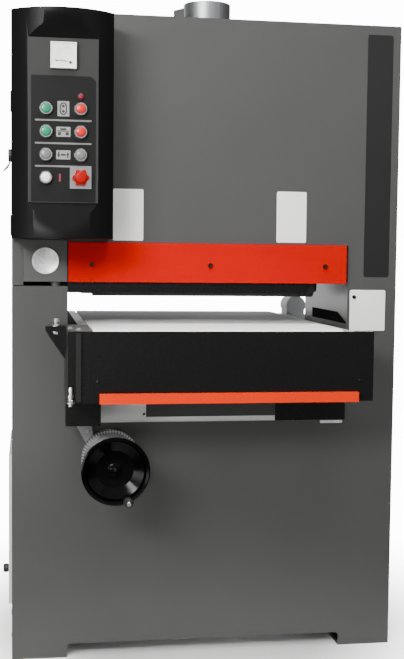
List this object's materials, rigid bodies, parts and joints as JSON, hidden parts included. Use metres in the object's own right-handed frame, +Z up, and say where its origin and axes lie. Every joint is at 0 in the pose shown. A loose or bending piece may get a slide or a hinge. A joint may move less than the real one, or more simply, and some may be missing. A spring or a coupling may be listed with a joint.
{
  "type": "wide belt sander",
  "caption": "Floor-standing wide belt sander: a sheet steel cabinet with a cantilevered belt head over a feed table that rises on chained screws.",
  "frame": {"origin": "on the floor in the middle of the cabinet's footprint, the centre of the anchor holes", "axes": "+X to the operator's right, +Y into the machine along the feed, +Z up"},
  "size_m": [1.022, 1.005, 1.716],
  "materials": {
    "grey_paint": "satin",
    "column_paint": "satin",
    "black_paint": "satin",
    "red_paint": "gloss",
    "orange_paint": "gloss",
    "zinc_sheet": "matt",
    "steel": "bright",
    "dark_steel": "oiled",
    "iron": "painted",
    "block_iron": "satin",
    "frame_paint": "satin",
    "roller_cover": "matt cover",
    "abrasive": "coarse",
    "drive_rubber": "matt",
    "feed_rubber": "matt",
    "motor_paint": "satin",
    "gearbox_alloy": "cast",
    "panel_paint": "satin",
    "meter_plastic": "gloss",
    "bezel_chrome": "bright",
    "green_plastic": "gloss",
    "red_plastic": "gloss",
    "grey_plastic": "gloss",
    "white_plastic": "gloss",
    "black_plastic": "matt",
    "wheel_iron": "gloss enamel",
    "door_paint": "satin"
  },
  "bodies": {
    "cabinet": {"base_front_panel": "grey_paint", "rear_panels": "grey_paint", "base_skids": "black_paint", "side_panels": "grey_paint", "left_post": "grey_paint", "right_column": "column_paint", "head_front_panel": "grey_paint", "top_panel": "grey_paint", "dust_port": "zinc_sheet", "guard_bar": "red_paint", "pressure_beams": "black_paint", "head_beam": "frame_paint", "drum_bearings": "iron", "abrasive_belt": "abrasive", "main_motor": "motor_paint", "base_crossbeams": "frame_paint", "v_belts": "drive_rubber", "control_housing": "black_paint", "control_panel": "panel_paint", "ammeter": "meter_plastic", "button_bezels": "bezel_chrome", "lift_gearbox": "iron", "lift_chain": "dark_steel", "hinge_pins": "dark_steel"},
    "table": {"table_frame": "frame_paint", "feed_belt": "feed_rubber", "lead_screws": "steel", "feed_bearings": "iron", "front_cover": "black_paint", "table_bracket": "black_paint", "feed_gearmotor": "gearbox_alloy"},
    "handwheel": {"handwheel": "wheel_iron", "wheel_shaft": "steel"},
    "lock_block": {"lock_block": "block_iron"},
    "contact_drum": {"contact_drum": "roller_cover"},
    "motor_pulley": {"motor_pulley": "dark_steel"},
    "tension_yoke": {"tension_yoke": "iron"},
    "idler_drum": {"idler_drum": "steel"},
    "infeed_roller": {"infeed_roller": "roller_cover"},
    "outfeed_roller": {"outfeed_roller": "roller_cover"},
    "drive_roller": {"drive_roller": "dark_steel"},
    "idle_roller": {"idle_roller": "dark_steel"},
    "knee_bar": {"knee_bar": "orange_paint"},
    "handwheel_knob": {"handwheel_knob": "black_plastic"},
    "front_left_sprocket": {"front_left_sprocket": "dark_steel"},
    "front_right_sprocket": {"front_right_sprocket": "dark_steel"},
    "rear_left_sprocket": {"rear_left_sprocket": "dark_steel"},
    "rear_right_sprocket": {"rear_right_sprocket": "dark_steel"},
    "sander_start_button": {"sander_start_button": "green_plastic"},
    "sander_stop_button": {"sander_stop_button": "red_plastic"},
    "feed_start_button": {"feed_start_button": "green_plastic"},
    "feed_stop_button": {"feed_stop_button": "red_plastic"},
    "table_up_button": {"table_up_button": "grey_plastic"},
    "table_down_button": {"table_down_button": "grey_plastic"},
    "power_button": {"power_button": "white_plastic"},
    "estop_head": {"estop_head": "red_plastic"},
    "upper_door": {"upper_door": "grey_paint"},
    "lower_door": {"lower_door": "door_paint"},
    "upper_latch": {"upper_latch": "black_plastic"},
    "lower_latch": {"lower_latch": "black_plastic"}
  },
  "joints": [
    {"name": "handwheel_turn", "type": "hinge", "parent": "cabinet", "child": "handwheel", "pos_m": [-0.253, -0.2225, 0.521], "axis": [0, 1, 0], "range_deg": [-5400, 6120]},
    {"name": "table_lift", "type": "slide", "parent": "cabinet", "child": "table", "axis": [0, 0, 1], "range_m": [-0.06, 0.068]},
    {"name": "front_left_nut_turn", "type": "hinge", "parent": "cabinet", "child": "front_left_sprocket", "pos_m": [-0.253, -0.14, 0.46], "axis": [0, 0, 1], "range_deg": [-6120, 5400]},
    {"name": "front_right_nut_turn", "type": "hinge", "parent": "cabinet", "child": "front_right_sprocket", "pos_m": [0.253, -0.14, 0.46], "axis": [0, 0, 1], "range_deg": [-6120, 5400]},
    {"name": "rear_left_nut_turn", "type": "hinge", "parent": "cabinet", "child": "rear_left_sprocket", "pos_m": [-0.253, 0.14, 0.46], "axis": [0, 0, 1], "range_deg": [-6120, 5400]},
    {"name": "rear_right_nut_turn", "type": "hinge", "parent": "cabinet", "child": "rear_right_sprocket", "pos_m": [0.253, 0.14, 0.46], "axis": [0, 0, 1], "range_deg": [-6120, 5400]},
    {"name": "knob_spin", "type": "hinge", "parent": "handwheel", "child": "handwheel_knob", "pos_m": [-0.22509, -0.4275, 0.45193], "axis": [0, 1, 0], "continuous": true},
    {"name": "contact_drum_spin", "type": "hinge", "parent": "cabinet", "child": "contact_drum", "pos_m": [0, 0, 1.0078], "axis": [1, 0, 0], "continuous": true},
    {"name": "motor_spin", "type": "hinge", "parent": "cabinet", "child": "motor_pulley", "pos_m": [0.4, 0, 0.26], "axis": [1, 0, 0], "continuous": true},
    {"name": "belt_tension", "type": "slide", "parent": "cabinet", "child": "tension_yoke", "axis": [0, 0, 1], "range_m": [-0.015, 0]},
    {"name": "idler_drum_spin", "type": "hinge", "parent": "tension_yoke", "child": "idler_drum", "pos_m": [0, 0, 1.53104], "axis": [1, 0, 0], "continuous": true},
    {"name": "infeed_roller_spin", "type": "hinge", "parent": "cabinet", "child": "infeed_roller", "pos_m": [0, -0.13, 0.957], "axis": [1, 0, 0], "continuous": true},
    {"name": "outfeed_roller_spin", "type": "hinge", "parent": "cabinet", "child": "outfeed_roller", "pos_m": [0, 0.13, 0.957], "axis": [1, 0, 0], "continuous": true},
    {"name": "drive_roller_spin", "type": "hinge", "parent": "table", "child": "drive_roller", "pos_m": [-0.003, 0.4575, 0.812], "axis": [1, 0, 0], "continuous": true},
    {"name": "idle_roller_spin", "type": "hinge", "parent": "table", "child": "idle_roller", "pos_m": [-0.003, -0.3975, 0.812], "axis": [1, 0, 0], "continuous": true},
    {"name": "knee_bar_press", "type": "slide", "parent": "table", "child": "knee_bar", "axis": [0, 1, 0], "range_m": [0, 0.005], "stiffness_N_per_m": 2000, "springref_m": -0.002},
    {"name": "sander_start_press", "type": "slide", "parent": "cabinet", "child": "sander_start_button", "axis": [0, 1, 0], "range_m": [0, 0.004], "stiffness_N_per_m": 600, "springref_m": -0.002},
    {"name": "sander_stop_press", "type": "slide", "parent": "cabinet", "child": "sander_stop_button", "axis": [0, 1, 0], "range_m": [0, 0.004], "stiffness_N_per_m": 600, "springref_m": -0.002},
    {"name": "feed_start_press", "type": "slide", "parent": "cabinet", "child": "feed_start_button", "axis": [0, 1, 0], "range_m": [0, 0.004], "stiffness_N_per_m": 600, "springref_m": -0.002},
    {"name": "feed_stop_press", "type": "slide", "parent": "cabinet", "child": "feed_stop_button", "axis": [0, 1, 0], "range_m": [0, 0.004], "stiffness_N_per_m": 600, "springref_m": -0.002},
    {"name": "table_up_press", "type": "slide", "parent": "cabinet", "child": "table_up_button", "axis": [0, 1, 0], "range_m": [0, 0.004], "stiffness_N_per_m": 600, "springref_m": -0.002},
    {"name": "table_down_press", "type": "slide", "parent": "cabinet", "child": "table_down_button", "axis": [0, 1, 0], "range_m": [0, 0.004], "stiffness_N_per_m": 600, "springref_m": -0.002},
    {"name": "power_press", "type": "slide", "parent": "cabinet", "child": "power_button", "axis": [0, 1, 0], "range_m": [0, 0.004], "stiffness_N_per_m": 600, "springref_m": -0.002},
    {"name": "estop_press", "type": "slide", "parent": "cabinet", "child": "estop_head", "axis": [0, 1, 0], "range_m": [0, 0.004], "stiffness_N_per_m": 1500, "springref_m": -0.002},
    {"name": "lock_block_draw", "type": "slide", "parent": "cabinet", "child": "lock_block", "axis": [0, -1, 0], "range_m": [0, 0.295]},
    {"name": "upper_door_swing", "type": "hinge", "parent": "cabinet", "child": "upper_door", "pos_m": [-0.5052, 0.2175, 1.3], "axis": [0, 0, -1], "range_deg": [0, 110]},
    {"name": "lower_door_swing", "type": "hinge", "parent": "cabinet", "child": "lower_door", "pos_m": [-0.5052, 0.213, 0.33], "axis": [0, 0, -1], "range_deg": [0, 110]},
    {"name": "upper_latch_turn", "type": "hinge", "parent": "upper_door", "child": "upper_latch", "pos_m": [-0.5, -0.1825, 1.2825], "axis": [1, 0, 0], "range_deg": [0, 90]},
    {"name": "lower_latch_turn", "type": "hinge", "parent": "lower_door", "child": "lower_latch", "pos_m": [-0.508, -0.1775, 0.227], "axis": [1, 0, 0], "range_deg": [0, 90]}
  ],
  "couplings": [
    {"joint": "table_lift", "follows": "handwheel_turn", "m_per_rad": 0.00063662},
    {"joint": "front_left_nut_turn", "follows": "handwheel_turn", "ratio": -1},
    {"joint": "front_right_nut_turn", "follows": "handwheel_turn", "ratio": -1},
    {"joint": "rear_left_nut_turn", "follows": "handwheel_turn", "ratio": -1},
    {"joint": "rear_right_nut_turn", "follows": "handwheel_turn", "ratio": -1},
    {"joint": "motor_spin", "follows": "contact_drum_spin", "ratio": 1},
    {"joint": "idler_drum_spin", "follows": "contact_drum_spin", "ratio": 1},
    {"joint": "idle_roller_spin", "follows": "drive_roller_spin", "ratio": 1}
  ]
}
